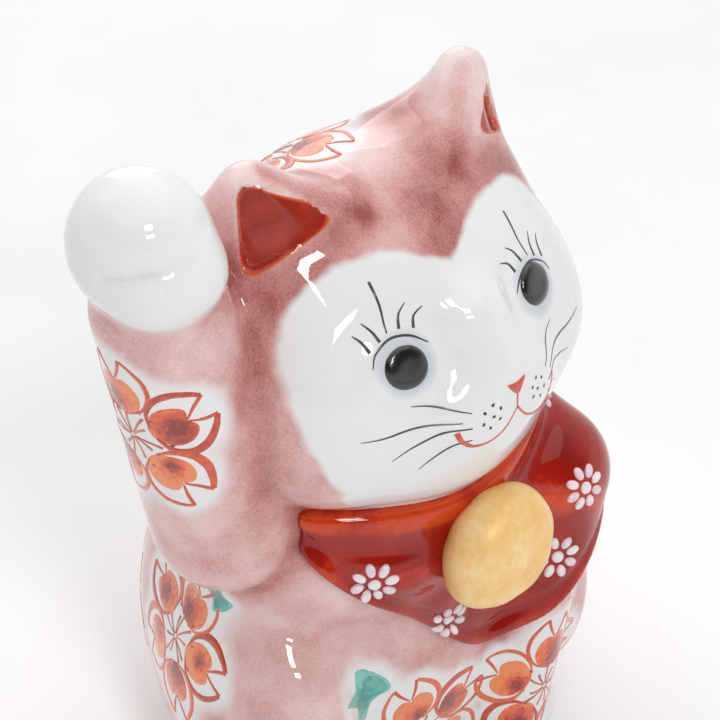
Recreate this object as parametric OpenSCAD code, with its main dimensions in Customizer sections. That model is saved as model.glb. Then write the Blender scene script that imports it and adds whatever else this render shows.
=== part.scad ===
// Seated beckoning cat figurine in slip-cast glazed porcelain.
// The cat faces -Y, its own right side is -X, and the underside lies on Z = 0.
// Every piece below is cast, pressed or trailed by itself and luted to its neighbours.

/* [Figure] */
// Height over the raised paw
figure_h = 158; // [126:1:237]
// Thickness of the cast porcelain wall
wall = 3.5; // [3.25:0.25:4.5]
// Thickness of the slab that closes the underside
base_t = 4; // [3:0.5:6]
// Bore of the kiln vent in the underside
vent_d = 9; // [6:0.5:12]

/* [Head] */
// Width of the skull
head_w = 74; // [68:0.5:78]
// Height of the ear tips above the base
ear_tip_z = 151.4; // [145:0.2:153]
// Radius of an ear where it meets the skull
ear_root_r = 11.5; // [10:0.1:12]
// Radius of the rounded ear tip
ear_tip_r = 3.4; // [2.5:0.1:4]
// Depth of the flat panel pressed into the front of each ear
ear_panel = 1.4; // [0.8:0.1:2]

/* [Arms] */
// Radius of the raised arm at the elbow
elbow_r = 14.2; // [13:0.1:15]
// Radius of the raised arm at the wrist
wrist_r = 11.6; // [10.5:0.1:12]
// Diameter of the raised paw
paw_d = 23.2; // [22:0.1:25]

/* [Dress] */
// Thickness of the moulded bib
bib_t = 1.8; // [1.2:0.1:2.4]
// Width of the bell
bell_w = 25; // [20:0.5:27]
// Height of the collar band behind the neck
collar_h = 7; // [4:0.5:9]

/* [Enamel] */
// Thickness of the fired eye and nose enamel
enamel_t = 0.5; // [0.3:0.1:0.8]
// Diameter of the enamelled eye
eye_d = 9; // [7:0.1:10]
// Radius of one trailed enamel dot
dot_r = 1; // [0.7:0.05:1.1]

/* [Hidden] */
$fn = 64;

// All places and sizes are stated for a cat 158 mm tall and scaled together.
drawn_h = 158;
k = figure_h / drawn_h;
reach = 200;

rose = [0.85, 0.66, 0.66];
white = [0.96, 0.96, 0.95];
red = [0.66, 0.13, 0.08];
gold = [0.93, 0.72, 0.38];
black = [0.04, 0.04, 0.04];

// A swelling is a centre and three radii. The body is a union of a few of them.
belly = [[0, 6.5, 34], [40.6, 38, 48]];
chest = [[0, 0, 72], [40.2, 33, 29]];
haunch = [[32, -8, 27], [14.5, 24.5, 28]];
torso_swells = [belly, chest, haunch, flip(haunch)];

skull = [[0, -5, 113], [head_w / 2, 26, 28]];
cheek = [[18, -15, 102], [20, 17.5, 18]];
chin = [[0, -20, 97], [18, 15, 17]];
muzzle = [[0, -33, 107.5], [11, 7.5, 8]];
head_hollows = [skull, cheek, flip(cheek), chin];
head_swells = concat(head_hollows, [muzzle]);

paw_ball = [[-47.6, -2, drawn_h - 12.7], [paw_d / 2, paw_d / 2, 12.7]];
paw_fingers = [[-47, -8, 140], [10.4, 8, 8]];
hind_foot = [[23, -24, 5.5], [9, 11, 6.5]];
bobtail = [[9, 43, 17], [8, 7, 9]];
vent_y = 14;

// A limb is two ball ends and the two radii that join them.
raised_limb = [[-36, -5, 83], [-45.3, -2, 132], elbow_r, wrist_r];
lowered_limb = [[28, -24, 66], [13, -30.5, 9.5], 12, 8.5];
ear_root = [22, 0.4, 134.6];
ear_tip = [25.4, -1, ear_tip_z - ear_tip_r];
ear_panel_at = [23.2, -7.6, 139.4];
ear_panel_tilt = 27;
ear_panel_outline = [[-6.2, -3.6], [6.6, -4.4], [1.8, 7.2]];

eye_at = [16.2, -28.9, 119.2];
eye_turn = 24;
nose_at = [0, -39, 113];
nose_outline = [[-2.4, 1.3], [2.4, 1.3], [0.6, -1.7], [-0.6, -1.7]];
nose_inset = 3;
nose_reach = 8;

// The bib's hem falls to its lowest point a little to the cat's left.
hem_low = 38.5;
hem_turn = 12;
hem_rise = 0.66;
hem_round = 9;
hem_radius = 38;
hem_from = -80;
hem_to = 104;
hem_step = 8;
hem_clear = 1;
collar_top = 93;
bib_back = 4;

// Places of the trailed flowers on the bib, as angle round the neck and height.
flower_places = [[-40, 73], [-9, 52], [30, 56], [36, 71], [58, 84]];
petals = 8;
petal_ring = 2.9;
petal_size = 0.95;
dot_height = 0.6;
neck_axis_y = -2;
// How far down the lowered arm the bib can reach, in shares of its length.
draped_shares = [0, 0.2, 0.35];
bib_swells = concat([belly, chest], [for (t = draped_shares) limb_ball(lowered_limb, t)]);

// The ears and the bell are let into shallow flat seats.
ear_seat = 2.4;
bell_z = 73;
bell_rim_y = -36.5;
bell_front = 8;
bell_back = 5;

arc_steps = 12;
dot_steps = 4;

function flip(swell) = [[-swell[0][0], swell[0][1], swell[0][2]], swell[1]];
function hem_z(angle) = hem_low + sqrt(pow(hem_rise * (angle - hem_turn), 2) + pow(hem_round, 2)) - hem_round;
function span(a, b) = norm(b - a);
function unit(v) = v / norm(v);
function mix(a, b, t) = a + (b - a) * t;
function limb_ball(l, t) = [mix(l[0], l[1], t), mix(l[2], l[3], t) * [1, 1, 1]];

// How far a ray from start along way runs before it leaves the swelling, or -1 if it misses.
function leaves(swell, grow, start, way) =
    let (r = swell[1] + [grow, grow, grow],
         s = [for (i = [0:2]) (start[i] - swell[0][i]) / r[i]],
         w = [for (i = [0:2]) way[i] / r[i]],
         half_b = s * w,
         root = half_b * half_b - (w * w) * (s * s - 1))
    root < 0 ? -1 : (sqrt(root) - half_b) / (w * w);

// Outward direction of a swelling's surface at the point p.
function outward(swell, grow, p) =
    let (r = swell[1] + [grow, grow, grow])
    unit([for (i = [0:2]) (p[i] - swell[0][i]) / pow(r[i], 2)]);

// The skin of several swellings as seen from the axis of the neck: [point, outward direction].
function skin(swells, grow, angle, z) =
    let (start = [0, neck_axis_y, z],
         way = [sin(angle), -cos(angle), 0],
         runs = [for (b = swells) leaves(b, grow, start, way)],
         longest = max(runs),
         p = start + longest * way,
         outer = [for (i = [0:len(swells) - 1]) if (runs[i] == longest) swells[i]][0])
    [p, outward(outer, grow, p)];

// One swelling, made larger or smaller all round by grow.
module swell(b, grow = 0) {
    translate(b[0]) scale(b[1] + [grow, grow, grow]) sphere(1);
}

module swells(list, grow = 0) {
    for (b = list) swell(b, grow);
}

// A round limb: two balls and the cone that touches both, turned as one profile.
module limb(l, grow = 0) {
    length = span(l[0], l[1]);
    r0 = l[2] + grow;
    r1 = l[3] + grow;
    lean = asin((r0 - r1) / length);
    low_arc = [for (i = [0:arc_steps]) let (a = -90 + (90 + lean) * i / arc_steps) r0 * [cos(a), sin(a)]];
    top_arc = [for (i = [0:arc_steps]) let (a = lean + (90 - lean) * i / arc_steps)
               [r1 * cos(a), length + r1 * sin(a)]];
    d = l[1] - l[0];
    translate(l[0]) face_along(d)
        rotate_extrude() polygon(concat(low_arc, top_arc));
}

// Half of an ellipse outline, from the height low up to its pole, for turning.
function dome_outline(r, h, low, steps) =
    let (from = asin(low / h))
    concat([[0, low]], [for (i = [0:steps]) let (a = from + (90 - from) * i / steps) [r * cos(a), h * sin(a)]]);

// Turns +Z to the direction v.
module face_along(v) {
    rotate([0, acos(v[2] / norm(v)), atan2(v[1], v[0])]) children();
}

module sized() {
    scale(k) children();
}

// Everything under the plane through the origin that faces +Z.
module under_plane() {
    translate([-reach / 2, -reach / 2, -reach]) cube([reach, reach, reach]);
}

module torso_form(grow = 0) {
    swells(torso_swells, grow);
}

module head_form(grow = 0) {
    swells(head_swells, grow);
}

module arm_form(grow = 0) {
    limb(raised_limb, grow);
    swell(paw_ball, grow);
    swell(paw_fingers, grow);
}

module lowered_form(grow = 0) {
    limb(lowered_limb, grow);
}

// The bib covers the front above its hem, and a band goes round behind the neck.
module bib_zone() {
    hem = [for (a = [hem_from:hem_step:hem_to]) [hem_radius * sin(a - hem_turn) + hem_turn / 2, hem_z(a)]];
    translate([0, bib_back, 0]) rotate([90, 0, 0]) linear_extrude(reach / 2)
        polygon(concat(hem, [[hem_radius + reach / 4, collar_top], [-hem_radius - reach / 4, collar_top]]));
    translate([-reach / 2, -reach / 2, collar_top - collar_h]) cube([reach, reach, collar_h]);
}

// The bell is pressed in a half mould, so its back is flat.
module bell_form() {
    translate([0, bell_rim_y, bell_z]) rotate([90, 0, 0])
        rotate_extrude() polygon(dome_outline(bell_w / 2, bell_front, -bell_back, arc_steps));
}

module torso_shell() {
    color(rose) sized() difference() {
        torso_form();
        torso_form(-wall);
        head_form();
        arm_form(-wall);
        bell_form();
        under_plane();
    }
}

module base_plate() {
    color(white) sized() difference() {
        intersection() {
            swell(belly, -wall);
            translate([-reach / 2, -reach / 2, 0]) cube([reach, reach, base_t]);
        }
        translate([0, vent_y, -1]) cylinder(d = vent_d, h = base_t + 2);
    }
}

module head_shell() {
    color(white) sized() difference() {
        head_form();
        swells(head_hollows, -wall);
        torso_form(-wall);
        ear_form();
        mirror([1, 0, 0]) ear_form();
    }
}

// The left ear before its panel is pressed in: a cone that leans from its flat root to a ball tip.
// The right one is its mirror image.
module ear_form() {
    up = outward(skull, 0, ear_root);
    seat = ear_root - ear_seat * up;
    height = (ear_tip - seat) * up;
    lean = (ear_tip - seat) / height;
    across = unit(cross(up, lean));
    along = cross(across, up);
    narrowing = asin((ear_root_r - ear_tip_r) / height);
    tip_arc = [for (i = [0:arc_steps]) let (a = narrowing + (90 - narrowing) * i / arc_steps)
               [ear_tip_r * cos(a), height + ear_tip_r * sin(a)]];
    multmatrix([for (i = [0:2]) [along[i], across[i], lean[i], seat[i]]])
        rotate_extrude() polygon(concat([[0, 0], [ear_root_r, 0]], tip_arc));
}

module ear() {
    difference() {
        ear_form();
        translate(ear_panel_at) rotate([90 - ear_panel_tilt, 0, 0]) translate([0, 0, -ear_panel])
            linear_extrude(reach / 10) polygon(ear_panel_outline);
    }
}

module left_ear() {
    color(rose) sized() ear();
}

module right_ear() {
    color(rose) sized() mirror([1, 0, 0]) ear();
}

module raised_arm() {
    color(rose) sized() difference() {
        arm_form();
        arm_form(-wall);
        torso_form();
        head_form();
    }
}

module lowered_arm() {
    color(rose) sized() difference() {
        lowered_form();
        torso_form();
        head_form();
        under_plane();
    }
}

module hind_foot(swelling) {
    difference() {
        swell(swelling);
        torso_form();
        lowered_form();
        under_plane();
    }
}

module right_hind_foot() {
    color(white) sized() hind_foot(flip(hind_foot));
}

module left_hind_foot() {
    color(white) sized() hind_foot(hind_foot);
}

module tail() {
    color(rose) sized() difference() {
        swell(bobtail);
        torso_form();
    }
}

module bib() {
    color(red) sized() difference() {
        intersection() {
            union() {
                swell(belly, bib_t);
                swell(chest, bib_t);
                lowered_form(bib_t);
            }
            bib_zone();
        }
        torso_form();
        swell(haunch, hem_clear);
        lowered_form();
        head_form();
        arm_form();
        bell_form();
    }
}

module bell() {
    color(gold) sized() bell_form();
}

// Enamel lies on the glaze: the skin of the head inside an upright outline.
module enamel_on_head() {
    difference() {
        intersection() {
            head_form(enamel_t);
            children();
        }
        head_form();
    }
}

module eye(side) {
    color(black) sized() enamel_on_head()
        translate([side * eye_at[0], eye_at[1], eye_at[2]]) rotate([90, 0, side * eye_turn])
            cylinder(d = eye_d, h = eye_d, center = true);
}

module right_eye() {
    eye(-1);
}

module left_eye() {
    eye(1);
}

module nose() {
    color(red) sized() enamel_on_head()
        translate([0, nose_at[1] + nose_inset, nose_at[2]]) rotate([90, 0, 0])
            linear_extrude(nose_reach) polygon(nose_outline);
}

// One trailed dot: a low dome whose flat side lies on the bib.
module dot(angle, z, size) {
    place = skin(bib_swells, bib_t, angle, z);
    translate(place[0]) face_along(place[1])
        rotate_extrude() polygon(size * dome_outline(dot_r, dot_height, 0, dot_steps));
}

module bib_flowers() {
    color(white) sized() for (f = flower_places) {
        dot(f[0], f[1], 1);
        radius = norm(skin(bib_swells, bib_t, f[0], f[1])[0] - [0, neck_axis_y, f[1]]);
        for (i = [0:petals - 1]) {
            turn = i * 360 / petals;
            side = petal_ring * cos(turn);
            dot(f[0] + side / radius * 180 / PI, f[1] + petal_ring * sin(turn), petal_size);
        }
    }
}

torso_shell();
base_plate();
head_shell();
right_ear();
left_ear();
raised_arm();
lowered_arm();
right_hind_foot();
left_hind_foot();
tail();
bib();
bell();
right_eye();
left_eye();
nose();
bib_flowers();
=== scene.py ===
import math

import bpy
import numpy as np
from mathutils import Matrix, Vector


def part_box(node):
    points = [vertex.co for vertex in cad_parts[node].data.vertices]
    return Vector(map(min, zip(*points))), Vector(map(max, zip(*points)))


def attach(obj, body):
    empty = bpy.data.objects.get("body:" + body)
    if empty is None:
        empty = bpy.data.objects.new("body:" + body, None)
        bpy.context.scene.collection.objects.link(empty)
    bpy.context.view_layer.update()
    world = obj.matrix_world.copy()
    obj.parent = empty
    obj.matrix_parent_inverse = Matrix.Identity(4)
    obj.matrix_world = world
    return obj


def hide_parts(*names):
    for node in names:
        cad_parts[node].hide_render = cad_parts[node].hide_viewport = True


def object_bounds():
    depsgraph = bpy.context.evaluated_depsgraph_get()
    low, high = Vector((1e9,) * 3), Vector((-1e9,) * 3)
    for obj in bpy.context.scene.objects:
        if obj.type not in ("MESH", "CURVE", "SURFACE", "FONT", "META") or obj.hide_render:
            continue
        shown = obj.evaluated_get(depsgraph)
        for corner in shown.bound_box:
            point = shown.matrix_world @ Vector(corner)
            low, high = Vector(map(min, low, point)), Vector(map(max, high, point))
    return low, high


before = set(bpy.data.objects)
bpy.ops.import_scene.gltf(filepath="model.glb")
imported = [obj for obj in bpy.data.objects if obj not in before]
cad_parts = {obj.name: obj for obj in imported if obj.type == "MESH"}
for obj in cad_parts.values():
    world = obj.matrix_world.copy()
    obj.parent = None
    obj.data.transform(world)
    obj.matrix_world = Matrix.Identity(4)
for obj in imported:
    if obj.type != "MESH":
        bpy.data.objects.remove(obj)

import openvdb
from mathutils import Vector

# A beckoning cat in glazed porcelain, 158 mm tall as drawn. Every place and size below is in drawn
# millimetres in the frame of the CAD model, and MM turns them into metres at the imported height.
# The whole body is one distance field. Its swellings follow the CAD parts closely, with finer
# modelling of the head, the ears and the raised paw, softened where the slip runs together. It is
# meshed once and cut into its cast pieces where their fields meet.

CAD_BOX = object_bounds()
DRAWN_HEIGHT = 158.0
MM = (CAD_BOX[1].z - CAD_BOX[0].z) / DRAWN_HEIGHT

FINE = 0.8    # mesh spacing of the body
BIB_FINE = 0.7       # and of the bib
MARGIN = 6           # room round the CAD box for the body's mesh
SHELL = 1.5          # thickness of the meshed porcelain shells
EAR_SHELL = 0.5      # and of the ears, whose rims are thin
SINK = 0.12          # how far enamel is keyed into the glaze


def drawn(node):
    """Centre and half size of a CAD node's box in drawn millimetres."""
    low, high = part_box(node)
    low, high = np.array(low) / MM, np.array(high) / MM
    return (low + high) / 2, (high - low) / 2


# ---------------------------------------------------------------- distance fields

def ellipsoid(p, centre, radii):
    q = p - np.array(centre, float)
    r = np.array(radii, float)
    k0 = np.linalg.norm(q / r, axis=-1)
    k1 = np.linalg.norm(q / (r * r), axis=-1)
    return k0 * (k0 - 1) / np.maximum(k1, 1e-9)


def limb(p, a, b, ra, rb):
    """A cone with a ball at both ends."""
    a, b = np.array(a, float), np.array(b, float)
    ba, rr = b - a, ra - rb
    l2 = ba @ ba
    a2, il2 = l2 - rr * rr, 1 / l2
    pa = p - a
    y = pa @ ba
    z = y - l2
    x2 = ((pa * l2 - y[..., None] * ba) ** 2).sum(-1)
    y2, z2 = y * y * l2, z * z * l2
    k = np.sign(rr) * rr * rr * x2
    side = (np.sqrt(np.maximum(x2 * a2 * il2, 0)) + y * rr) * il2 - ra
    side = np.where(np.sign(y) * a2 * y2 < k, np.sqrt(x2 + y2) * il2 - ra, side)
    return np.where(np.sign(z) * a2 * z2 > k, np.sqrt(x2 + z2) * il2 - rb, side)


def join(a, b, soft):
    """Union whose crease is filled over the width soft."""
    h = np.maximum(soft - np.abs(a - b), 0) / soft
    return np.minimum(a, b) - h * h * soft / 4


def cut(a, b, soft):
    return -join(-a, -b, soft)


def mirrored(p):
    return np.stack([np.abs(p[..., 0]), p[..., 1], p[..., 2]], -1)


def near_path(p, a, b):
    """Distance to the straight stretch from a to b."""
    a, b = np.array(a, float), np.array(b, float)
    t = np.clip((p - a) @ (b - a) / ((b - a) @ (b - a)), 0, 1)
    return np.linalg.norm(p - a - t[..., None] * (b - a), axis=-1)


def near_line(p, stops):
    """Distance to a line through several points."""
    return np.min([near_path(p, a, b) for a, b in zip(stops, stops[1:])], axis=0)


def torso(p):
    d = join(ellipsoid(p, (0, 6.5, 33), (40.8, 38, 48)), ellipsoid(p, (0, 0, 72), (40.2, 33, 29)), 8)
    return join(d, ellipsoid(mirrored(p), (32.6, -8, 29), (14.5, 24.5, 30)), 6)


def head(p):
    m = mirrored(p)
    d = join(ellipsoid(p, (0, -5, 113), (37, 26, 28)), ellipsoid(m, (18, -15, 103.3), (20, 17.5, 17.2)), 12)
    d = join(d, ellipsoid(p, (0, 3, 117), (27, 20, 22)), 10)
    d = join(d, ellipsoid(p, (0, -21.5, 98), (20, 16, 16)), 9)
    d = join(d, ellipsoid(p, (0, -31.6, 107.6), (12, 7.5, 8)), 10)
    d = join(d, ellipsoid(m, (5.4, -33.6, 107), (6, 5.2, 5.2)), 4)
    d = join(d, limb(p, (0, -29, 121), (0, -34.8, 113.4), 5.4, 3.4), 7)
    return d + 0.35 * np.exp(-((ellipsoid(m, (16.2, -28.9, 119.2), (9, 9, 8)) / 2.6) ** 2))


EAR_PANEL = [(27.8, -3.4, 147.4), (29.6, -6.0, 133.8), (19.4, -14.3, 141.9)]
# For the cat's right ear (-1) and left ear (1): the tip, the radius there, how much smaller the panel
# is than the outline above, and how deep it is sunk.
EARS = {
    -1: ((24.4, -1, 143.8), 4.8, 0.0, 0.7),
    1: ((26, -1, 146.9), 3.2, 1.6, 0.2),
}
# The groove from the tip of an ear down its inner side.
EAR_FOLD = [(23, -3.4, 148.6), (16.2, -8.6, 142), (10.6, -13.2, 138.7)]


def panel_plane(p, inset):
    """Distance outside the outline of an ear's panel, and height above its plane."""
    a, b, c = [np.array(v, float) for v in EAR_PANEL]
    up = np.cross(c - a, b - a)
    up /= np.linalg.norm(up)
    edge = None
    for s, e in ((a, c), (c, b), (b, a)):
        out = np.cross(e - s, up)
        out /= np.linalg.norm(out)
        d = (p - s) @ out
        edge = d if edge is None else cut(edge, d, 4)
    return edge - 1.1 + inset, (p - a) @ up


def ear(p, side):
    """A blunt plate that faces half sideways, leaning on a cone, with a sunken panel in front."""
    tip, tip_radius, inset, depth = EARS[side]
    m = p * np.array([side, 1, 1])
    q = m - np.array([25.2, -1.2, tip[2] - 12.4])
    plate = np.stack([q @ np.array([-0.674, -0.739, 0]), q @ np.array([0.739, -0.674, 0]), q[..., 2]], -1)
    d = join(limb(m, (20, 1, 126), tip, 15, tip_radius), ellipsoid(plate, (0, 0, 0), (13.2, 6, 14)), 3)
    d = join(d, limb(m, tip, (13, -8.5, 137.6), tip_radius, 4.6), 4)
    d = d + 0.5 * np.exp(-((near_line(m, EAR_FOLD) / 2.0) ** 2))
    edge, height = panel_plane(m, inset)
    return cut(d, -np.maximum(edge, -depth - height), 0.6)


def one_side(p, d, side):
    """Keeps a mirrored field on one side only."""
    return np.where(p[..., 0] * side > 0, d, np.abs(p[..., 0]) + np.abs(d) + 1)


# The edge of the folded fingers, round the front of the raised paw.
FINGER_FOLD = [(-59, -6.5, 146.6), (-57, -10, 147.6), (-52, -13.8, 148.8), (-46.8, -14.2, 150.6),
               (-41, -12, 152.4)]
# A shorter groove just below it.
FINGER_GROOVE = [(-58.2, -8.9, 145), (-53.2, -13.9, 145.6)]


def raised_arm(p):
    d = limb(p, (-36, -5, 83), (-45.3, -2, 132), 14.2, 11.6)
    d = join(d, ellipsoid(p, (-48.2, -2.2, 146.4), (11.7, 12, 12.6)), 2.5)
    d = join(d, ellipsoid(p, (-47.4, -7.8, 142), (10.2, 8.2, 8)), 3)
    d = d + 0.75 * np.exp(-((near_line(p, FINGER_FOLD) / 1.5) ** 2))
    return d + 0.3 * np.exp(-((near_path(p, *FINGER_GROOVE) / 1.2) ** 2))


def lowered_arm(p):
    return limb(p, (28, -24, 66), (13, -30.5, 9.5), 12, 8.5)


def foot(p):
    return ellipsoid(mirrored(p), (23, -24, 5.5), (9, 11, 6.5))


def tail(p):
    return ellipsoid(p, (9, 43, 17), (8, 7, 9))


PARTS = {
    "torso_shell": torso,
    "head_shell": head,
    "right_ear": lambda p: ear(p, -1),
    "left_ear": lambda p: ear(p, 1),
    "raised_arm": raised_arm,
    "lowered_arm": lowered_arm,
    "right_hind_foot": lambda p: one_side(p, foot(p), -1),
    "left_hind_foot": lambda p: one_side(p, foot(p), 1),
    "tail": tail,
}


def trunk(p):
    """The body below the head without the raised arm: what the bib is draped on."""
    return join(torso(p), lowered_arm(p), 7)


def body(p):
    """The whole porcelain body, standing on its flat underside."""
    d = join(trunk(p), foot(p), 4)
    d = join(d, tail(p), 4)
    d = join(d, head(p), 5)
    d = join(join(d, ear(p, -1), 7), ear(p, 1), 7)
    d = join(d, raised_arm(p), 3)
    return cut(d, -p[..., 2], 1.6)


# The hem's lowest height, the angle where that is, its rise in mm a degree and the rounding there.
HEM_LOW, HEM_TURN, HEM_RISE, HEM_ROUND = 39.6, 12, 0.66, 9
NECK_Y = -2                     # angles round the neck are taken from here
BAND_LOW, BAND_TOP = 86, 93     # the band behind the neck
BIB_THICK = 1.7
BELL = drawn("bell")


def hem(angle):
    """Height of the bib's hem at an angle round the neck, in degrees."""
    fall = np.sqrt((HEM_RISE * (angle - HEM_TURN)) ** 2 + HEM_ROUND ** 2) - HEM_ROUND
    return np.minimum(HEM_LOW + fall, BAND_LOW)


def bib(p):
    angle = np.degrees(np.arctan2(p[..., 0], NECK_Y - p[..., 1]))
    above = (p[..., 2] - hem(angle)) * 0.8
    dx, dz = p[..., 0] - BELL[0][0], p[..., 2] - BELL[0][2]
    away = np.hypot(dx, dz)
    turn = np.arctan2(dz, np.abs(dx))
    thick = BIB_THICK + 0.5 * np.exp(-(((above - 1.5) / 1.1) ** 2))
    thick = thick - 0.35 * np.exp(-(((above - 3.6) / 1.0) ** 2))
    under = head(p)
    roll, valley = np.exp(-(((under - 2.6) / 2.6) ** 2)), np.exp(-(((under - 8) / 2.4) ** 2))
    thick = thick + 1.7 * roll - 0.6 * valley
    folds = np.cos(5.4 * turn + 0.5) * np.exp(-(((away - 21) / 9) ** 2))
    thick = thick + 1.0 * folds * np.clip(above / 6 - 0.5, 0, 1) * np.clip(under / 5 - 1, 0, 1)
    skin = trunk(p)
    d = cut(skin - thick, -(skin + 0.4), 0.3)
    d = cut(d, -above, 1.2)
    d = cut(d, p[..., 2] - BAND_TOP, 1.2)
    d = cut(d, -(under + 0.3), 0.3)
    d = cut(d, -(raised_arm(p) - 0.4), 1.2)
    return d


# ---------------------------------------------------------------- meshing

def normal_of(field, p, h=0.04):
    g = sum(np.array(k, float) * field(p + h * np.array(k, float))[..., None]
            for k in ((1, -1, -1), (-1, -1, 1), (-1, 1, -1), (1, 1, 1)))
    return g / (4 * h)


def settle(field, p, rounds):
    """Moves points onto the surface and returns them with the outward direction."""
    for _ in range(rounds):
        g = normal_of(field, p)
        p = p - g * (field(p) / np.maximum((g * g).sum(-1), 1e-6))[..., None]
    g = normal_of(field, p)
    return p, g / np.maximum(np.linalg.norm(g, axis=-1, keepdims=True), 1e-9)


def skin_of(field, low, high, step):
    """Triangles of the surface of a field inside the box low..high, with outward directions."""
    block = 4
    low = np.array(low, float)
    count = np.ceil((np.array(high) - low) / (step * block)).astype(int)
    axes = [low[i] + step * (block * np.arange(count[i]) + (block - 1) / 2) for i in range(3)]
    coarse = field(np.stack(np.meshgrid(*axes, indexing="ij"), -1).reshape(-1, 3)).reshape(count)
    grid = coarse.repeat(block, 0).repeat(block, 1).repeat(block, 2)
    near = np.argwhere(np.abs(grid) < step * block * 1.7)
    grid[tuple(near.T)] = field(low + near * step)
    volume = openvdb.FloatGrid(float(step * block))
    volume.copyFromArray(grid.astype(np.float32))
    points, quads = volume.convertToQuads(0.0)
    points, away = settle(field, low + points.astype(float) * step, 3)
    a, b, c, d = quads.T.astype(int)
    short = (np.linalg.norm(points[a] - points[c], axis=1) < np.linalg.norm(points[b] - points[d], axis=1))
    first = np.where(short[:, None], np.stack([a, b, c], 1), np.stack([a, b, d], 1))
    second = np.where(short[:, None], np.stack([a, c, d], 1), np.stack([b, c, d], 1))
    return points, away, np.concatenate([first, second])


def split(points, away, triangles, fields, surface):
    """Cuts a skin into one part for each field, along the lines where two neighbours' fields are equal."""
    label = fields.argmin(0)
    of = label[triangles]
    alike = (of[:, 0] == of[:, 1]) & (of[:, 1] == of[:, 2])
    parts = [triangles[alike & (of[:, 0] == i)].tolist() for i in range(len(fields))]
    new_points, made = [], {}

    def crossing(a, b):
        a, b = min(a, b), max(a, b)
        if (a, b) not in made:
            gap = fields[label[a], [a, b]] - fields[label[b], [a, b]]
            t = min(max(gap[0] / (gap[0] - gap[1]), 0.03), 0.97)
            made[a, b] = len(points) + len(new_points)
            new_points.append(points[a] * (1 - t) + points[b] * t)
        return made[a, b]

    for tri in triangles[~alike].tolist():
        present = sorted(set(label[tri].tolist()))
        if len(present) == 3:
            parts[int(fields[:, tri].sum(1).argmin())].append(tri)
            continue
        for i in present:
            ring = []
            for a, b in ((tri[0], tri[1]), (tri[1], tri[2]), (tri[2], tri[0])):
                if label[a] == i:
                    ring.append(a)
                if label[a] != label[b]:
                    ring.append(crossing(a, b))
            parts[i] += [(ring[0], ring[k], ring[k + 1]) for k in range(1, len(ring) - 1)]
    extra, extra_away = settle(surface, np.array(new_points), 2)
    points, away = np.concatenate([points, extra]), np.concatenate([away, extra_away])
    out = []
    for part in parts:
        used, back = np.unique(np.array(part, int).reshape(-1, 3), return_inverse=True)
        out.append((points[used], away[used], back.reshape(-1, 3)))
    return out


def shelled(points, away, triangles, thick):
    """Closes an open skin with an inner layer and a rim."""
    n = len(points)
    inner = triangles[:, ::-1] + n
    edges = np.concatenate([triangles[:, [0, 1]], triangles[:, [1, 2]], triangles[:, [2, 0]]])
    known = set(map(tuple, edges.tolist()))
    rim = [(b, a, a + n, b + n) for a, b in edges.tolist() if (b, a) not in known]
    faces = triangles.tolist() + inner.tolist() + rim
    return np.concatenate([points, points - away * thick]), np.concatenate([away, -away]), faces


def make_piece(name, points, faces, material, normals=None, values=None, slot=None, replaces=()):
    """A named mesh that rides on the porcelain body."""
    mesh = bpy.data.meshes.new(name)
    mesh.from_pydata((np.asarray(points) * MM).tolist(), [], [list(f) for f in faces])
    mesh.shade_smooth()
    for key, value in (values or {}).items():
        mesh.attributes.new(key, "FLOAT", "POINT").data.foreach_set("value", value.astype(np.float32))
    if normals is not None:
        mesh.normals_split_custom_set_from_vertices(normals.tolist())
    mesh.materials.append(material)
    obj = bpy.data.objects.new(name, mesh)
    bpy.context.collection.objects.link(obj)
    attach(obj, "root")
    if replaces:
        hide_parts(*replaces)


# ---------------------------------------------------------------- painting on a surface

class Chart:
    """Flat map laid on a surface round one point: u runs to the viewer's right and v runs up."""

    def __init__(self, field, at, turn=0.0):
        self.field = field
        self.origin, n = settle(field, np.array([at], float), 6)
        right = np.cross(np.array([0.0, 0.0, 1.0]), n[0])
        right /= np.linalg.norm(right)
        top = np.cross(n[0], right)
        c, s = math.cos(math.radians(turn)), math.sin(math.radians(turn))
        self.u, self.v = c * right + s * top, c * top - s * right

    def at(self, uv, steps=7):
        """Walks over the surface from the origin by each (u, v)."""
        uv = np.asarray(uv, float)
        far = np.maximum(np.linalg.norm(uv, axis=1), 1e-6)
        way = (uv[:, :1] * self.u + uv[:, 1:] * self.v) / far[:, None]
        p = np.repeat(self.origin, len(uv), 0)
        for _ in range(steps):
            p = p + way * (far / steps)[:, None]
            n = normal_of(self.field, p)
            p = p - n * (self.field(p) / np.maximum((n * n).sum(-1), 1e-6))[:, None]
            n /= np.maximum(np.linalg.norm(n, axis=-1, keepdims=True), 1e-9)
            way = way - (way * n).sum(-1, keepdims=True) * n
            way /= np.linalg.norm(way, axis=-1, keepdims=True)
        return p


def smooth_path(points, spacing):
    """Catmull-Rom curve through a few points."""
    pts = np.array(points, float)
    pts = np.concatenate([[2 * pts[0] - pts[1]], pts, [2 * pts[-1] - pts[-2]]])
    out = []
    for i in range(1, len(pts) - 2):
        p0, p1, p2, p3 = pts[i - 1:i + 3]
        steps = max(2, int(np.linalg.norm(p2 - p1) / spacing))
        t = (np.arange(steps) / steps)[:, None]
        out.append(0.5 * (2 * p1 + (p2 - p0) * t + (2 * p0 - 5 * p1 + 4 * p2 - p3) * t ** 2
                          + (3 * p1 - p0 - 3 * p2 + p3) * t ** 3))
    return np.concatenate(out + [pts[-2:-1]])


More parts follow.
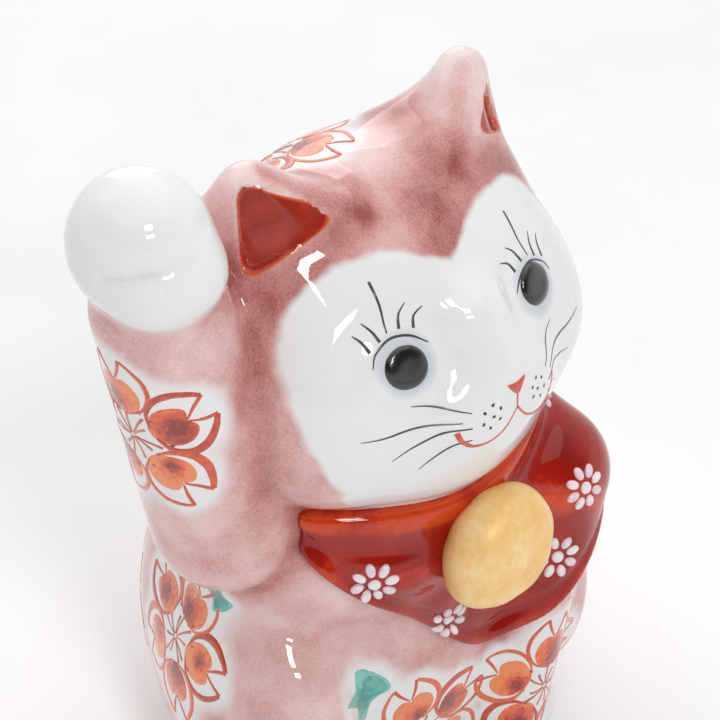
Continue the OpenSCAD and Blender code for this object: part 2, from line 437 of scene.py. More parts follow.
class Enamel:
    """Gathers brush strokes and filled shapes of one colour on one surface into one raised mesh."""

    def __init__(self, field, height):
        self.field, self.height = field, height
        self.strokes, self.fills = [], []

    def stroke(self, path, widths, tone=0.5):
        """A line along dense points, with its half width at evenly spaced stations."""
        path = np.asarray(path, float)
        t = np.linspace(0, 1, len(path))
        wide = np.interp(t, np.linspace(0, 1, len(widths)), widths)
        self.strokes.append((path, wide, np.full(len(path), tone)))

    def fill(self, chart, outline, heart=None, reach=3.0, tone=None):
        """A closed shape that bulges slightly. heart is the place of its darkest colour. An outline
        that runs clockwise, as the nose's and LEAF do, comes out wound inside out."""
        outline = np.array(outline, float)
        centre = outline.mean(0)
        rings = [1.0, 0.93, 0.8, 0.6, 0.4, 0.2]
        uv = np.concatenate([centre + r * (outline - centre) for r in rings] + [[centre]])
        lift = np.concatenate([np.full(len(outline), math.sqrt(max(0, 1 - r ** 4))) for r in rings] + [[1]])
        if heart is None:
            dark = np.full(len(uv), 0.5 if tone is None else tone)
        else:
            dark = np.exp(-((np.linalg.norm(uv - np.array(heart), axis=1) / reach) ** 2))
        self.fills.append((chart.at(uv), lift, dark, len(outline), len(rings)))

    def build(self, name, material, **rest):
        points, faces, tones, start = [], [], [], 0
        if self.strokes:
            path = np.concatenate([s[0] for s in self.strokes])
            wide = np.concatenate([s[1] for s in self.strokes])
            tone = np.concatenate([s[2] for s in self.strokes])
            along = np.concatenate([np.gradient(s[0], axis=0) for s in self.strokes])
            path, n = settle(self.field, path, 2)
            side = np.cross(n, along)
            side /= np.maximum(np.linalg.norm(side, axis=-1, keepdims=True), 1e-9)
            rows = []
            for across, high in ((-1, -SINK), (-0.8, 0.7), (0, 1), (0.8, 0.7), (1, -SINK)):
                lift = high if high < 0 else high * self.height
                p, m = settle(self.field, path + side * (wide * across)[:, None], 2)
                rows.append(p + m * lift)
            rings = np.stack(rows, 1)
            points.append(rings.reshape(-1, 3))
            tones.append(np.repeat(tone, 5))
            first = 0
            for s in self.strokes:
                count = len(s[0])
                for i in range(first, first + count - 1):
                    for j in range(5):
                        a, b = i * 5 + j, i * 5 + (j + 1) % 5
                        faces.append((a, a + 5, b + 5, b))
                faces.append(tuple(first * 5 + j for j in range(5)))
                faces.append(tuple((first + count - 1) * 5 + 4 - j for j in range(5)))
                first += count
            start = first * 5
        for top, lift, dark, around, rings in self.fills:
            top, n = settle(self.field, top, 1)
            rim = top[:around] - n[:around] * SINK
            under = (top[-1] - n[-1] * SINK)[None]
            mesh = np.concatenate([top + n * (lift * self.height)[:, None], rim, under])
            middle, low, base = start + around * rings, start + around * rings + 1, start + len(mesh) - 1
            for j in range(around):
                k = (j + 1) % around
                for r in range(rings - 1):
                    a = start + r * around
                    faces.append((a + j, a + k, a + around + k, a + around + j))
                a = start + (rings - 1) * around
                faces.append((a + j, a + k, middle))
                faces.append((low + j, low + k, start + k, start + j))
                faces.append((base, low + k, low + j))
            points.append(mesh)
            tones.append(np.concatenate([dark, dark[:around], dark[-1:]]))
            start += len(mesh)
        make_piece(name, np.concatenate(points), faces, material,
                   values={"tone": np.concatenate(tones)}, **rest)


def oval(centre, radii, turn=0.0, count=20):
    a = np.arange(count) * 2 * math.pi / count
    c, s = math.cos(math.radians(turn)), math.sin(math.radians(turn))
    x, y = radii[0] * np.cos(a), radii[1] * np.sin(a)
    return np.stack([centre[0] + c * x - s * y, centre[1] + s * x + c * y], 1)


def turned(points, degrees, shift=(0, 0)):
    c, s = math.cos(math.radians(degrees)), math.sin(math.radians(degrees))
    p = np.atleast_2d(np.array(points, float))
    return np.stack([p[:, 0] * c - p[:, 1] * s + shift[0], p[:, 0] * s + p[:, 1] * c + shift[1]], 1)


# ---------------------------------------------------------------- materials

def rgb(r, g, b):
    """A screen colour from 0 to 255 as linear light."""
    return tuple(((v / 255 + 0.055) / 1.055) ** 2.4 if v > 10 else v / 255 / 12.92 for v in (r, g, b)) + (1,)


class Nodes:
    """Short calls for building a material's node tree."""

    def __init__(self, name):
        self.material = bpy.data.materials.new(name)
        self.material.use_nodes = True
        self.tree = self.material.node_tree
        self.shader = self.tree.nodes["Principled BSDF"]
        self.where = self.add("ShaderNodeTexCoord").outputs["Object"]

    def add(self, kind, **options):
        node = self.tree.nodes.new(kind)
        for key, value in options.items():
            setattr(node, key, value)
        return node

    def put(self, value, socket):
        if hasattr(value, "is_linked"):
            self.tree.links.new(value, socket)
        else:
            socket.default_value = value

    def value(self, name):
        return self.add("ShaderNodeAttribute", attribute_name=name).outputs["Fac"]

    def math(self, operation, a, b, clamp=False):
        node = self.add("ShaderNodeMath", operation=operation, use_clamp=clamp)
        self.put(a, node.inputs[0])
        self.put(b, node.inputs[1])
        return node.outputs[0]

    def range(self, value, low, high, to_low=0.0, to_high=1.0, smooth=True):
        node = self.add("ShaderNodeMapRange", interpolation_type="SMOOTHSTEP" if smooth else "LINEAR")
        self.put(value, node.inputs["Value"])
        for key, v in (("From Min", low), ("From Max", high), ("To Min", to_low), ("To Max", to_high)):
            node.inputs[key].default_value = v
        return node.outputs["Result"]

    def noise(self, size_mm, detail, rough=0.5, stretch=(1, 1, 1)):
        place = self.add("ShaderNodeMapping")
        self.put(self.where, place.inputs["Vector"])
        place.inputs["Scale"].default_value = stretch
        node = self.add("ShaderNodeTexNoise")
        self.put(place.outputs[0], node.inputs["Vector"])
        node.inputs["Scale"].default_value = 1 / (size_mm * MM)
        node.inputs["Detail"].default_value = detail
        node.inputs["Roughness"].default_value = rough
        return node.outputs["Fac"]

    def mix(self, factor, a, b):
        node = self.add("ShaderNodeMix", data_type="RGBA")
        self.put(factor, node.inputs["Factor"])
        self.put(a, node.inputs[6])
        self.put(b, node.inputs[7])
        return node.outputs[2]

    def ramp(self, factor, *stops):
        node = self.add("ShaderNodeValToRGB")
        self.put(factor, node.inputs[0])
        while len(node.color_ramp.elements) < len(stops):
            node.color_ramp.elements.new(0.5)
        for element, (place, colour) in zip(node.color_ramp.elements, stops):
            element.position = place
            element.color = colour
        return node.outputs[0]

    def bump(self, height, depth_mm, strength=1.0):
        node = self.add("ShaderNodeBump")
        node.inputs["Strength"].default_value = strength
        node.inputs["Distance"].default_value = depth_mm * MM
        self.put(height, node.inputs["Height"])
        self.put(node.outputs[0], self.shader.inputs["Normal"])

    def finish(self, colour, roughness, coat=0.0, coat_roughness=0.03, metallic=0.0, specular=0.5):
        self.put(colour, self.shader.inputs["Base Color"])
        self.put(roughness, self.shader.inputs["Roughness"])
        self.shader.inputs["Metallic"].default_value = metallic
        self.shader.inputs["Coat Weight"].default_value = coat
        self.shader.inputs["Coat Roughness"].default_value = coat_roughness
        self.shader.inputs["Specular IOR Level"].default_value = specular
        return self.material


WHITE_GLAZE = rgb(233, 233, 232)
# Both glazes shine by their clear coat only. Under it the colour is matt.
GLOSSY = {"coat": 1.0, "coat_roughness": 0.02, "specular": 0.0}


def glaze_material():
    """White glaze with rose airbrushing, reserved face, paws and blossom grounds, and red ear panels. The
    rose is deepened as painted shade in creases and ear folds, and a blue-grey tint rings the eyes and
    paints shade along the paw's finger fold.
    """
    n = Nodes("painted_glaze")
    grain = n.noise(0.45, 3, 0.7)
    cloud = n.noise(11, 3, 0.55)
    drift = n.noise(6, 2)
    # The rose depth includes painted shade in the creases and along the ear folds.
    rose = n.math("ADD", n.value("rose"), n.range(cloud, 0.3, 0.7, -0.18, 0.18, False))
    rose = n.math("ADD", rose, n.range(grain, 0.3, 0.7, -0.1, 0.1, False))
    rose_colour = n.ramp(rose, (0.0, rgb(240, 226, 224)), (0.35, rgb(229, 193, 189)),
                         (0.7, rgb(203, 143, 138)), (1.0, rgb(156, 84, 80)))
    ragged = n.range(drift, 0.3, 0.7, -0.4, 0.4, False)
    face = n.math("ADD", n.value("face"), ragged)
    colour = n.mix(n.range(face, -0.6, 0.8), WHITE_GLAZE, rose_colour)
    reserve = n.math("ADD", n.value("reserve"), n.math("MULTIPLY", ragged, 1.5))
    colour = n.mix(n.range(reserve, -1.6, 2.2, 1, 0), colour, WHITE_GLAZE)
    # Blue-grey: a ring round each eye, and painted shade along the raised paw's finger fold.
    colour = n.mix(n.range(n.value("eye_ring_and_fold_shade"), 0.0, 1.9, 0.75, 0), colour, rgb(196, 206, 213))
    red = n.ramp(n.noise(3.5, 2), (0.35, rgb(150, 40, 24)), (0.65, rgb(168, 52, 32)))
    red = n.mix(n.range(n.value("panel"), -0.45, -0.15), red, rgb(205, 84, 44))
    colour = n.mix(n.range(n.value("panel"), -0.12, 0.1), red, colour)
    n.bump(n.noise(4.5, 2), 0.06)
    return n.finish(colour, n.range(grain, 0.2, 0.8, 0.5, 0.6, False), **GLOSSY)


def red_glaze_material():
    """Transparent deep red over a paler ground, so it pools dark in hollows and glows on ridges."""
    n = Nodes("pooled_red_glaze")
    pool = n.noise(9, 3, 0.6)
    fleck = n.noise(0.8, 2, 0.7)
    mixed = n.math("ADD", n.math("MULTIPLY", pool, 0.8), n.math("MULTIPLY", fleck, 0.2))
    mixed = n.math("SUBTRACT", mixed, n.math("MULTIPLY", n.value("thin"), 0.28))
    colour = n.ramp(mixed, (0.22, rgb(206, 62, 14)), (0.4, rgb(166, 24, 6)), (0.75, rgb(122, 10, 4)))
    n.bump(n.noise(5, 2), 0.07)
    return n.finish(colour, n.range(fleck, 0.3, 0.7, 0.5, 0.6, False), **GLOSSY)


def enamel_material(name, light, middle, dark, roughness=0.35):
    """Brushed enamel: pale where the brush was dry, dark where it pooled."""
    n = Nodes(name)
    streak = n.noise(1.1, 3, 0.6)
    tone = n.math("ADD", n.value("tone"), n.range(streak, 0.25, 0.75, -0.3, 0.3, False), clamp=True)
    colour = n.ramp(tone, (0.05, light), (0.45, middle), (0.95, dark))
    n.bump(n.noise(0.9, 2), 0.02)
    return n.finish(colour, n.range(streak, 0.3, 0.7, roughness - 0.06, roughness + 0.06, False), coat=0.9)


def gold_material():
    """Matt gold lustre brushed on by hand in near upright strokes."""
    n = Nodes("brushed_gold_lustre")
    streak = n.noise(1.4, 3, 0.6, (1.4, 1, 0.8))
    cloud = n.noise(7, 3)
    tone = n.math("ADD", n.math("MULTIPLY", streak, 0.4), n.math("MULTIPLY", cloud, 0.6))
    colour = n.ramp(tone, (0.36, rgb(243, 190, 112)), (0.5, rgb(247, 204, 132)), (0.64, rgb(250, 217, 158)))
    n.bump(streak, 0.02, 0.5)
    return n.finish(colour, n.range(streak, 0.3, 0.7, 0.38, 0.5, False), coat=0.1,
                    coat_roughness=0.3, metallic=0.1)


def bare_material():
    """Unglazed porcelain on the underside, slightly sandy and warm."""
    n = Nodes("bare_porcelain")
    grit = n.noise(0.5, 4, 0.7)
    colour = n.ramp(grit, (0.3, rgb(221, 214, 202)), (0.7, rgb(238, 234, 226)))
    n.bump(grit, 0.05)
    return n.finish(colour, n.range(grit, 0.3, 0.7, 0.7, 0.85, False))


GLAZE = glaze_material()
RED_GLAZE = red_glaze_material()
GOLD = gold_material()
BLACK_ENAMEL = enamel_material("black_enamel", rgb(34, 32, 31), rgb(18, 18, 19), rgb(9, 9, 10), 0.2)
LINE_BLACK = enamel_material("black_line_enamel", rgb(92, 82, 72), rgb(52, 46, 42), rgb(26, 24, 23))
RED_LINE = enamel_material("red_line_enamel", rgb(226, 96, 60), rgb(204, 66, 40), rgb(158, 44, 30))
ORANGE = enamel_material("orange_outline_enamel", rgb(230, 108, 54), rgb(214, 74, 30), rgb(168, 40, 16))
PETAL = enamel_material("petal_enamel", rgb(238, 134, 70), rgb(222, 84, 38), rgb(136, 22, 8))
STAMEN = enamel_material("stamen_enamel", rgb(220, 120, 84), rgb(190, 86, 60), rgb(132, 48, 38))
TEAL = enamel_material("teal_enamel", rgb(120, 198, 188), rgb(66, 170, 160), rgb(42, 130, 122))
WHITE_ENAMEL = enamel_material("white_enamel", rgb(243, 234, 236), rgb(232, 216, 222), rgb(214, 192, 202))


# ---------------------------------------------------------------- the painted body

# Where each blossom's centre lies, how far it is turned and how large it is.
BLOSSOMS = {
    "arm": ((-54.6, -4, 111.5), 98, 1.0),
    "right_flank": ((-42.3, 6.3, 47), 78, 1.0),
    "front_right": ((-10.3, -31, 22.5), 104, 1.0),
    "front_left": ((17, -38.8, 23), 76, 1.0),
    "left_flank": ((42, 8, 46), 62, 1.0),
    "back_upper": ((-8, 40, 66), 80, 1.0),
    "back_left": ((24, 38, 42), 110, 1.0),
    "back_right": ((-27, 38, 30), 70, 1.0),
    "crown": ((-6, 14, 137), 95, 0.95),
}
PETALS = 5
PETAL_REACH = 10.5
# Each leaf's place, how far it is turned and how large it is.
LEAVES = [
    ((-39.6, -2.6, 61.5), -55, 0.85),
    ((-23, -27, 40.3), 35, 1.35),
    ((38.5, -17, 50), 80, 0.9),
    ((6, 43, 50), 20, 1.0),
    ((-22, 36, 50), 140, 1.0),
]

charts = {key: Chart(body, at) for key, (at, _, _) in BLOSSOMS.items()}


def petal_centres(key):
    _, turn, size = BLOSSOMS[key]
    ways = [turned((PETAL_REACH * size, 0), turn + i * 360 / PETALS)[0] for i in range(PETALS)]
    return charts[key].at(np.array(ways))


# Outline of the white face seen from the front: angle up from sideways, and distance from FACE_CENTRE,
# which is an x and a z.
FACE_CENTRE = (-0.6, 112)
FACE_BACK = -13.5    # the mask ends at this y
FACE_EDGE = [(-90, 32), (-50, 31.2), (-40, 32.2), (-25, 32.2), (-9, 33.3), (3, 34), (13, 33.8), (23, 33.3),
             (32, 33), (40, 31.8), (50, 29.4), (60, 26.7), (69, 24.3), (78, 21.6), (85, 20), (90, 19.2)]


def white_face(p):
    """Distance outside the white mask of the face, which has a peak of rose at the brow."""
    x, z = np.abs(p[..., 0] - FACE_CENTRE[0]), p[..., 2] - FACE_CENTRE[1]
    edge = np.interp(np.degrees(np.arctan2(z, x)), *np.array(FACE_EDGE).T)
    return np.maximum(np.hypot(x, z) - edge, p[..., 1] - FACE_BACK)


def painting(p):
    """What the glaze material reads at each point: the depth of the rose, which carries painted shade in the
    creases between parts and along the ear folds, and the distances outside the face, the reserved grounds,
    the ear panels and the blue-grey ring round the eyes, which also lays painted shade along the finger
    fold."""
    fields = np.sort(np.stack([PARTS[k](p) for k in ("torso_shell", "head_shell", "right_ear", "left_ear",
                                                     "raised_arm", "lowered_arm")]), 0)
    # Painted shade: the rose is deepened where two parts' fields are close, in the creases between them.
    crease_shade = np.exp(-((fields[1] - fields[0]) / 4.5) ** 2)
    face = white_face(p)
    brow = np.exp(-(np.linalg.norm(p - np.array([1.0, -19, 135]), axis=-1) / 10) ** 2)
    temple = np.exp(-(np.linalg.norm(p - np.array([-31, -16, 127]), axis=-1) / 9) ** 2)
    # Painted shade: the rose is deepened along the groove down each ear's inner side.
    ear_fold_shade = np.exp(-((near_line(mirrored(p), EAR_FOLD) / 2.2) ** 2))
    ears = np.clip((p[..., 2] - 138) / 10, 0, 1)
    rose = 0.46 + 0.36 * crease_shade + 0.45 * brow + 0.12 * temple + 0.4 * ear_fold_shade - 0.26 * ears
    reserve = np.minimum(139.5 + 0.3 * (p[..., 0] + 48) - p[..., 2] + 2.0 * np.cos(p[..., 1] / 6), 60.0)
    reserve = np.where(raised_arm(p) < 3, reserve * 0.8, 50.0)
    reserve = np.minimum(reserve, np.where(lowered_arm(p) < 2, (p[..., 2] - 15) * 0.5, 50.0))
    reserve = np.minimum(reserve, np.where(foot(p) < 2, foot(p) - 1.5, 50.0))
    for key, (_, _, size) in BLOSSOMS.items():
        near = np.linalg.norm(p - charts[key].origin, axis=-1) - 9 * size
        for c in petal_centres(key):
            near = join(near, np.linalg.norm(p - c, axis=-1) - 8.2 * size, 3)
        reserve = np.minimum(reserve, near)
    for at, _, size in LEAVES:
        reserve = join(reserve, np.linalg.norm(p - np.array(at, float), axis=-1) - 6 * size, 4)
    edge, height = panel_plane(mirrored(p), np.where(p[..., 0] > 0, EARS[1][2], EARS[-1][2]))
    panel = np.where((np.abs(height) < 4) & (p[..., 2] > 130), edge, 20.0)
    eye_centre = drawn("left_eye")[0]
    eye_edge = np.linalg.norm((mirrored(p) - eye_centre) / np.array([1.0, 1.3, 1.0]), axis=-1) - 4.6
    # A blue-grey ring round each eye, and painted shade in a band along the paw's finger fold.
    eye_ring_and_fold_shade = np.minimum(eye_edge, near_line(p, FINGER_FOLD) * 2.0)
    return {"rose": rose, "face": np.clip(face, -20, 20), "reserve": np.clip(reserve, -20, 20),
            "panel": np.clip(panel, -20, 20), "eye_ring_and_fold_shade": np.clip(eye_ring_and_fold_shade, -5, 20)}


# Pieces that are mostly bare white. The others are mostly rose.
SLOTS = {"head_shell": "white_glaze", "right_hind_foot": "white_glaze", "left_hind_foot": "white_glaze"}


def build_body():
    low = np.array(CAD_BOX[0]) / MM - MARGIN
    high = np.array(CAD_BOX[1]) / MM + MARGIN
    points, away, triangles = skin_of(body, low, high, FINE)
    slab_centre, slab_half = drawn("base_plate")
    flat = np.hypot((points[:, 0] - slab_centre[0]) / slab_half[0],
                    (points[:, 1] - slab_centre[1]) / slab_half[1])
    fields = np.stack([f(points) for f in PARTS.values()])
    slab = np.where(points[:, 2] < 1, fields[0] + (flat - 1) * 30, 100.0)
    parts = split(points, away, triangles, np.concatenate([fields, slab[None]]), body)
    for name, (p, n, t) in zip(PARTS, parts):
        paint = painting(p)
        p, n, faces = shelled(p, n, t, EAR_SHELL if name.endswith("ear") else SHELL)
        paint = {key: np.concatenate([value, value]) for key, value in paint.items()}
        make_piece(name + "_glazed", p, faces, GLAZE, n, paint, SLOTS.get(name, "rose_glaze"), [name])


def build_bib():
    points, away, triangles = skin_of(bib, (-48, -48, 34), (48, 40, 97), BIB_FINE)
    ridge = np.clip((trunk(points) - BIB_THICK) / 1.2, 0, 1)
    make_piece("bib_glazed", points, triangles.tolist(), RED_GLAZE, away, {"thin": ridge},
               "red_glaze", ["bib"])


def build_bell():
    """A pressed bell: a cushion with slightly flattened sides, its back let into the bib."""
    centre, half = BELL[0] + np.array([0.3, 0, 0.1]), BELL[1] * np.array([0.97, 1.14, 1.0])
    around, rings = 96, 28
    turn = np.arange(around) * 2 * math.pi / around
    outline = (1 - 0.02 * np.cos(4 * turn + 0.6) - 0.014 * np.cos(3 * turn - 0.9)
               - 0.012 * np.cos(9 * turn + 1))
    points = []
    for i in range(1, rings):
        a = math.pi * i / rings
        radial = math.sin(a) ** 0.8
        depth = math.copysign(abs(math.cos(a)) ** 0.9, math.cos(a))
        wave = 1 + 0.03 * np.cos(2 * turn + 1.0) * (1 - radial) * 2
        x = centre[0] + half[0] * 0.99 * radial * outline * np.cos(turn)
        z = centre[2] + half[2] * 0.99 * radial * outline * np.sin(turn)
        y = centre[1] - half[1] * depth * wave
        points.append(np.stack([x, y, z], 1))
    points = np.concatenate(points + [[[centre[0], centre[1] - half[1] * 0.99, centre[2]]],
                                      [[centre[0], centre[1] + half[1], centre[2]]]])
    front, back = len(points) - 2, len(points) - 1
    faces = []
    for j in range(around):
        k = (j + 1) % around
        faces.append((front, j, k))
        for r in range(rings - 2):
            a = r * around
            faces.append((a + j, a + around + j, a + around + k, a + k))
        faces.append((back, (rings - 2) * around + k, (rings - 2) * around + j))
    make_piece("bell_lustred", points, faces, GOLD, slot="gold_lustre", replaces=["bell"])


# Each trailed flower's angle round the neck and its height.
FLOWERS = [(-40, 73), (-9, 52), (30, 56), (36, 71), (58, 84)]
FAR_OUT = 60    # well in front of every surface


def build_bib_flowers():
    """Trailed flowers of eight oval petals round a centre dot."""
    dots = Enamel(bib, 0.55)
    for angle, z in FLOWERS:
        a = math.radians(angle)
        outward = np.array([[math.sin(a), -math.cos(a), 0]])
        start = np.array([[0, NECK_Y, z]]) + FAR_OUT * outward
        for _ in range(60):
            start = start - 0.8 * bib(start)[:, None] * outward
        chart = Chart(bib, start[0], 11)
        dots.fill(chart, oval((0, 0), (1.25, 1.25)), tone=0.2)
        for i in range(8):
            turn = i * 45
            place = turned((3.3, 0), turn)[0]
            tone = 0.35 + 0.25 * math.sin(i * 2.3 + angle)
            dots.fill(chart, oval(place, (1.42, 0.95), turn, 16), tone=tone)
    dots.build("bib_flowers_raised", WHITE_ENAMEL, slot="white_enamel", replaces=["bib_flowers"])


# ---------------------------------------------------------------- the painted face

def on_face(points):
    """Finds the face straight behind each (x, z) seen from the front."""
    xz = np.array(points, float)
    p = np.stack([xz[:, 0], np.full(len(xz), -float(FAR_OUT)), xz[:, 1]], 1)
    for _ in range(60):
        p[:, 1] += np.clip(body(p), -2, 6) * 0.7
    return p


# How far below the middle of its CAD box each eye's chart starts its way to the surface. That puts the
# right eye (-1) at its CAD height and 0.7 mm below the left one. The lid and the lashes read this
# table by the sign that their x is multiplied with, so it is the left eye's that are drawn lower.
EYE_DROP = {-1: 0.9, 1: 0.0}
NOSE_DROP = 0.6      # the same for the nose


def build_eyes():
    for side, name in ((-1, "right_eye"), (1, "left_eye")):
        chart = Chart(body, drawn(name)[0] - np.array([0, 0, EYE_DROP[side]]))
        eye = Enamel(body, 0.75)
        eye.fill(chart, oval((0, 0), (4.1, 3.8), 8 * side, 48), tone=0.6)
        eye.build(name + "_dome", BLACK_ENAMEL, slot="black_enamel", replaces=[name])


def build_nose():
    chart = Chart(body, drawn("nose")[0] - np.array([0, 0, NOSE_DROP]))
    nose = Enamel(body, 0.35)
    corners = [(-2.2, 1.1), (0, 0.9), (2.2, 1.2), (1.5, 0.1), (0.5, -1.2), (0, -1.5), (-0.6, -1.2),
               (-1.6, 0.0)]
    nose.fill(chart, smooth_path(corners + corners[:1], 0.5)[:-1], tone=0.45)
    nose.build("nose_enamel", RED_LINE, slot="red_enamel", replaces=["nose"])


# Brush lines on the cat's right half of the face as (x, z) seen from the front, the lashes and the
# whiskers with their half widths. The left half is their mirror image.
EYELID = [(-21.6, 120.4), (-20.2, 122.4), (-17, 124), (-13.6, 123.6), (-10.7, 121.6)]
LASHES = [
    ([(-22.3, 125.4), (-21.3, 124.2), (-20.9, 122.7)], (0.12, 0.28, 0.4)),
    ([(-20.2, 126.9), (-19.1, 125.4), (-18.7, 123.9)], (0.1, 0.25, 0.34)),
    ([(-16.0, 132.0), (-16.3, 128.2), (-17.0, 124.8)], (0.3, 0.24, 0.16)),
    ([(-12.1, 128.2), (-13.8, 126.8), (-14.8, 124.9)], (0.1, 0.24, 0.34)),
    ([(-9.4, 126.9), (-11.4, 125.9), (-12.3, 124.3)], (0.1, 0.24, 0.36)),
]
WHISKERS = [
    ([(-17.4, 113.0), (-14.0, 112.3), (-9.2, 110.6)], (0.08, 0.22, 0.1)),
    ([(-27.2, 109.6), (-22.0, 109.2), (-16.0, 109.5), (-11.0, 109.2)], (0.06, 0.2, 0.22, 0.1)),
    ([(-22.4, 104.2), (-18.0, 106.2), (-13.6, 107.9), (-9.6, 107.9)], (0.06, 0.2, 0.24, 0.14)),
    ([(-17.6, 100.6), (-15.2, 102.9), (-12.4, 104.9), (-9.6, 105.4)], (0.06, 0.2, 0.24, 0.14)),
]
FRECKLES = [(-5.4, 111.0), (-4.0, 109.9), (-7.1, 110.0), (-5.5, 108.8), (-4.2, 107.8), (-7.6, 108.0),
            (-6.3, 106.8)]
MOUTH = [(-0.1, 108.0), (-2.6, 104.9), (-5.8, 103.4), (-9.1, 103.7), (-11.2, 105.4), (-12.1, 107.5)]
PHILTRUM = [(0, 111.6), (-0.1, 109.8), (0, 108.0)]


def build_face_lines():
    lines = Enamel(body, 0.07)
    mouth = Enamel(body, 0.09)
    for side in (1, -1):
        def strokes(target, points, widths, tone, drop=0.0):
            dense = smooth_path([(x * side, z - drop) for x, z in points], 0.4)
            target.stroke(on_face(dense), widths, tone)
        strokes(lines, EYELID, (0.1, 0.22, 0.28, 0.26, 0.12), 0.55, EYE_DROP[side] * 0.8)
        for points, widths in LASHES:
            strokes(lines, points, widths, 0.5, EYE_DROP[side] * 0.7)
        for points, widths in WHISKERS:
            strokes(lines, points, widths, 0.45)
        for i, (x, z) in enumerate(FRECKLES):
            chart = Chart(body, on_face([(x * side, z)])[0])
            lines.fill(chart, oval((0, 0), (0.4, 0.3), 50 + 40 * i, 10), tone=0.8)
        strokes(mouth, MOUTH, (0.22, 0.26, 0.3, 0.34, 0.5, 0.62), 0.35)
    mouth.stroke(on_face(smooth_path(PHILTRUM, 0.4)), (0.2, 0.24, 0.22), 0.4)
    lines.build("face_brushwork", LINE_BLACK, slot="black_enamel")
    mouth.build("mouth_brushwork", RED_LINE, slot="red_enamel")


# ---------------------------------------------------------------- the blossoms

# One petal lying along +x: the edge of one of its lobes and of its notch, as (x, y). LEAF is a leaf.
LOBE = [(5.0, 1.2), (6.4, 4.2), (9.2, 6.1), (12.4, 6.0), (15.0, 4.4), (16.6, 2.7)]
NOTCH = [(16.7, 2.6), (14.4, 1.6), (12.2, 0.2)]
STAMENS = 11
LEAF = [(-5.2, 0.4), (-1.6, 1.0), (-2.2, 4.6), (0.6, 2.4), (3.4, 3.6), (4.4, -0.4), (3.6, -3.4),
        (0.4, -2.2), (-2.2, -2.6)]


def heart_outline(lean):
    """A petal's filling: a rounded heart with its notch outwards."""
    t = np.arange(36) * 2 * math.pi / 36
    around = np.minimum(t, 2 * math.pi - t)
    notch = 1 - 0.36 * np.exp(-((around / 0.34) ** 2))
    r = 4.05 * notch * (1 + 0.12 * np.exp(-(((math.pi - around) / 0.5) ** 2)))
    r = r * (1 + 0.06 * np.sin(2 * t + lean))
    return np.stack([9.3 + r * np.cos(t) * 1.02, r * np.sin(t) * 1.08], 1)


def build_blossoms():
    outlines = Enamel(body, 0.08)
    petals = Enamel(body, 0.06)
    stamens = Enamel(body, 0.07)
    leaves = Enamel(body, 0.06)
    for b, (key, (_, turn, size)) in enumerate(BLOSSOMS.items()):
        chart = charts[key]
        for i in range(PETALS):
            way = turn + i * 360 / PETALS
            seed = b * 5.3 + i * 2.1
            for side in (1, -1):
                heavy = 1 + 0.35 * math.sin(seed + side)
                lobe = smooth_path([(x, y * side) for x, y in LOBE], 0.45)
                notch = smooth_path([(x, y * side) for x, y in NOTCH], 0.45)
                widths = np.array([0.2, 0.46, 0.72, 0.8, 0.66, 0.46]) * heavy
                tone = 0.45 + 0.3 * math.sin(seed)
                outlines.stroke(chart.at(turned(lobe * size, way)), widths * size, tone)
                outlines.stroke(chart.at(turned(notch * size, way)), (0.44 * size, 0.4 * size, 0.2), 0.5)
            heart = turned((8.2 + 1.5 * math.sin(seed), 1.6 * math.cos(seed)), way)[0] * size
            shape = turned(heart_outline(seed) * size, way)
            petals.fill(chart, shape, heart, 3.2 * size * (1 + 0.4 * math.sin(seed * 1.7)))
        for i in range(STAMENS):
            way = turn + (i + 0.25 * math.sin(i * 3.7 + b)) * 360 / STAMENS
            far = (4.9 + 1.1 * math.sin(i * 2.6 + b)) * size
            line = turned(smooth_path([(0.5, 0), (far * 0.6, 0.15), (far, -0.1)], 0.4), way)
            stamens.stroke(chart.at(line), (0.18, 0.26, 0.36), 0.35 + 0.3 * math.sin(i * 1.9))
            spot = turned(((6.9 + 0.6 * math.sin(i * 4.1)) * size, 0.9), way)[0]
            if i % 4 != 3:
                stamens.fill(chart, oval(spot, (0.5, 0.3), way + 20, 10), tone=0.95)
    for at, turn, size in LEAVES:
        chart = Chart(body, at)
        shape = smooth_path(LEAF + LEAF[:1], 0.5)[:-1]
        leaves.fill(chart, turned(shape * size, turn), (0.5, 0), 2.6)
    outlines.build("blossom_outlines", ORANGE, slot="red_enamel")
    petals.build("blossom_petals", PETAL, slot="red_enamel")
    stamens.build("blossom_stamens", STAMEN, slot="red_enamel")
    leaves.build("teal_leaves", TEAL)


# ---------------------------------------------------------------- studio

FLOOR_HALF = 6.0                        # metres
LAMP_AIM = Vector((0, 0, 0.08))         # metres
# Each softbox: its name, its place and size in metres, and its watts.
LAMPS = [
    ("key_window_high", (-0.21, -0.53, 0.75), (0.16, 0.12), 1.4),
    ("key_window_low", (-0.25, -0.62, 0.60), (0.18, 0.07), 0.9),
    ("overhead_softbox", (0.05, 0.15, 1.0), (1.8, 1.8), 7.2),
    ("back_softbox", (0.5, 0.8, 0.5), (0.6, 0.5), 1.2),
]


def build_camera():
    """Puts the camera where the photo was taken from, and returns the way back to it."""
    azimuth, elevation, distance = math.radians(-44), math.radians(38.5), 368
    target = Vector((1.8, 0, 94)) * MM
    back = Vector((math.sin(azimuth) * math.cos(elevation), -math.cos(azimuth) * math.cos(elevation),
                   math.sin(elevation)))
    data = bpy.data.cameras.new("camera")
    data.lens, data.sensor_width = 98, 36
    data.clip_start, data.clip_end = 0.01, 20
    camera = bpy.data.objects.new("camera", data)
    camera.location = target + back * distance * MM
    camera.rotation_mode = "QUATERNION"
    camera.rotation_quaternion = (-back).to_track_quat("-Z", "Y")
    bpy.context.collection.objects.link(camera)
    bpy.context.scene.camera = camera
    return back


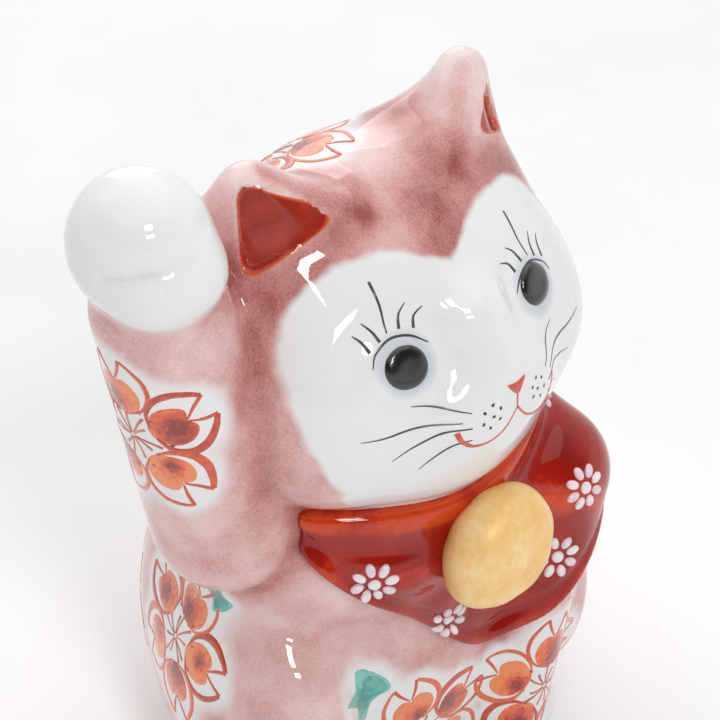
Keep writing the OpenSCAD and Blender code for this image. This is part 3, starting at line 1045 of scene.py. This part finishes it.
def build_floor():
    """A pale sheet that gives off some light far out, so that it has no dark edge."""
    mesh = bpy.data.meshes.new("floor")
    half = FLOOR_HALF
    mesh.from_pydata([(-half, -half, 0), (half, -half, 0), (half, half, 0), (-half, half, 0)], [],
                     [(0, 1, 2, 3)])
    n = Nodes("studio_floor")
    tint = n.ramp(n.noise(60, 2), (0.3, rgb(246, 246, 247)), (0.7, rgb(250, 250, 250)))
    span = n.add("ShaderNodeVectorMath", operation="LENGTH")
    n.put(n.where, span.inputs[0])
    n.shader.inputs["Emission Color"].default_value = rgb(250, 250, 251)
    n.put(n.range(span.outputs["Value"], 0.5, 3.0, 0.0, 0.5), n.shader.inputs["Emission Strength"])
    mesh.materials.append(n.finish(tint, 0.75, specular=0.2))
    floor = bpy.data.objects.new("floor", mesh)
    bpy.context.collection.objects.link(floor)


def build_room(back):
    """A pale room: bright low down all round, bright above and behind, and dark above the viewer."""
    world = bpy.data.worlds.new("studio")
    world.use_nodes = True
    tree = world.node_tree
    sky = tree.nodes.new("ShaderNodeTexCoord")
    split_sky = tree.nodes.new("ShaderNodeSeparateXYZ")
    toward = tree.nodes.new("ShaderNodeVectorMath")
    toward.operation = "DOT_PRODUCT"
    toward.inputs[1].default_value = (back.x, back.y, 0)
    low, front = tree.nodes.new("ShaderNodeMapRange"), tree.nodes.new("ShaderNodeMapRange")
    blend = tree.nodes.new("ShaderNodeMix")
    tree.links.new(sky.outputs["Generated"], split_sky.inputs[0])
    tree.links.new(sky.outputs["Generated"], toward.inputs[0])
    tree.links.new(split_sky.outputs["Z"], low.inputs["Value"])
    tree.links.new(toward.outputs["Value"], front.inputs["Value"])
    for node, values in ((low, (0.17, 0.3, 0, 1)), (front, (-0.3, 0.2, 0.8, 0.12))):
        for key, value in zip(("From Min", "From Max", "To Min", "To Max"), values):
            node.inputs[key].default_value = value
    blend.inputs[2].default_value = 0.92
    tree.links.new(low.outputs["Result"], blend.inputs[0])
    tree.links.new(front.outputs["Result"], blend.inputs[3])
    tree.links.new(blend.outputs[0], tree.nodes["Background"].inputs["Strength"])
    tree.nodes["Background"].inputs[0].default_value = (0.985, 0.99, 1, 1)
    bpy.context.scene.world = world


def build_lamps():
    for name, place, size, power in LAMPS:
        light = bpy.data.lights.new(name, "AREA")
        light.shape = "RECTANGLE"
        light.size, light.size_y = size
        light.energy = power
        lamp = bpy.data.objects.new(name, light)
        lamp.location = place
        lamp.rotation_mode = "QUATERNION"
        lamp.rotation_quaternion = (Vector(place) - LAMP_AIM).to_track_quat("Z", "Y")
        bpy.context.collection.objects.link(lamp)


def build_underside():
    """Keeps the slab as it comes from the CAD and gives it the look of unglazed porcelain."""
    slab_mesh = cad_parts["base_plate"].data
    slab_mesh.materials.clear()
    slab_mesh.materials.append(bare_material())


back_to_camera = build_camera()
build_floor()
build_room(back_to_camera)
build_lamps()
bpy.context.scene.view_settings.view_transform = "Standard"
build_body()
build_bib()
build_bell()
build_bib_flowers()
build_eyes()
build_nose()
build_face_lines()
build_blossoms()
build_underside()
